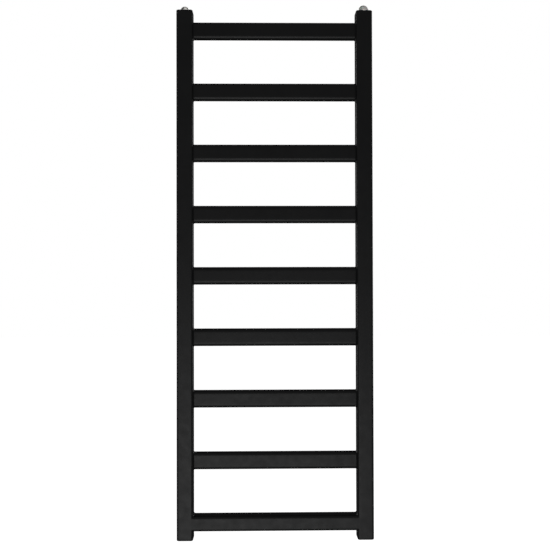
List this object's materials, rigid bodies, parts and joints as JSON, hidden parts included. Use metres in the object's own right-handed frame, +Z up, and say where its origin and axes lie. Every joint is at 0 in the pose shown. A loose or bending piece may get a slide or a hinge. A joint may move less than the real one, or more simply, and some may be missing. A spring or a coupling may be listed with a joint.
{
  "type": "towel warmer rack",
  "caption": "Tall wall-hung towel radiator: two square posts with flat rungs and a square bottom rail, a vent and a plug on top, pipe threads below and adjustable wall fixings.",
  "frame": {"origin": "on the wall, at the centre of the four wall screw holes, which is level with the middle of the posts", "axes": "+X to the right seen from the room, +Y into the wall, +Z up"},
  "size_m": [0.445, 0.0875, 1.2155],
  "materials": {
    "black_powder_coat": "satin, fine texture",
    "nickel_plate": "polished",
    "pale_plastic": "satin",
    "bare_brass": "turned",
    "black_rubber": "matt",
    "zinc_plate": "dull"
  },
  "bodies": {
    "wall_sockets": {"wall_sockets": "black_powder_coat"},
    "rack": {"left_post": "black_powder_coat", "right_post": "black_powder_coat", "rung_1": "black_powder_coat", "rung_2": "black_powder_coat", "rung_3": "black_powder_coat", "rung_4": "black_powder_coat", "rung_5": "black_powder_coat", "rung_6": "black_powder_coat", "rung_7": "black_powder_coat", "rung_8": "black_powder_coat", "bottom_rail": "black_powder_coat", "left_top_plate": "black_powder_coat", "right_top_plate": "black_powder_coat", "left_bottom_plate": "black_powder_coat", "right_bottom_plate": "black_powder_coat", "vent_body": "nickel_plate", "vent_seal": "black_rubber", "vent_dome": "nickel_plate", "plug": "nickel_plate", "plug_seal": "black_rubber", "pin_bushes": "black_powder_coat", "wall_pins": "zinc_plate"},
    "vent_collar": {"vent_collar": "pale_plastic"},
    "bleed_screw": {"bleed_screw": "bare_brass"},
    "grub_upper_left": {"grub_upper_left": "zinc_plate"},
    "grub_upper_right": {"grub_upper_right": "zinc_plate"},
    "grub_lower_left": {"grub_lower_left": "zinc_plate"},
    "grub_lower_right": {"grub_lower_right": "zinc_plate"}
  },
  "joints": [
    {"name": "wall_distance", "type": "slide", "parent": "wall_sockets", "child": "rack", "axis": [0, -1, 0], "range_m": [-0.01, 0.01]},
    {"name": "outlet_turn", "type": "hinge", "parent": "rack", "child": "vent_collar", "pos_m": [0.204, -0.07, 0.6], "axis": [0, 0, 1], "continuous": true},
    {"name": "bleed_turn", "type": "hinge", "parent": "rack", "child": "bleed_screw", "pos_m": [0.204, -0.07, 0.6], "axis": [0, 0, 1], "range_deg": [0, 360]},
    {"name": "grub_upper_left_turn", "type": "hinge", "parent": "wall_sockets", "child": "grub_upper_left", "pos_m": [-0.204, -0.0345, 0.49], "axis": [0, 0, -1], "range_deg": [0, 360]},
    {"name": "grub_upper_right_turn", "type": "hinge", "parent": "wall_sockets", "child": "grub_upper_right", "pos_m": [0.204, -0.0345, 0.49], "axis": [0, 0, -1], "range_deg": [0, 360]},
    {"name": "grub_lower_left_turn", "type": "hinge", "parent": "wall_sockets", "child": "grub_lower_left", "pos_m": [-0.204, -0.0345, -0.49], "axis": [0, 0, -1], "range_deg": [0, 360]},
    {"name": "grub_lower_right_turn", "type": "hinge", "parent": "wall_sockets", "child": "grub_lower_right", "pos_m": [0.204, -0.0345, -0.49], "axis": [0, 0, -1], "range_deg": [0, 360]}
  ]
}
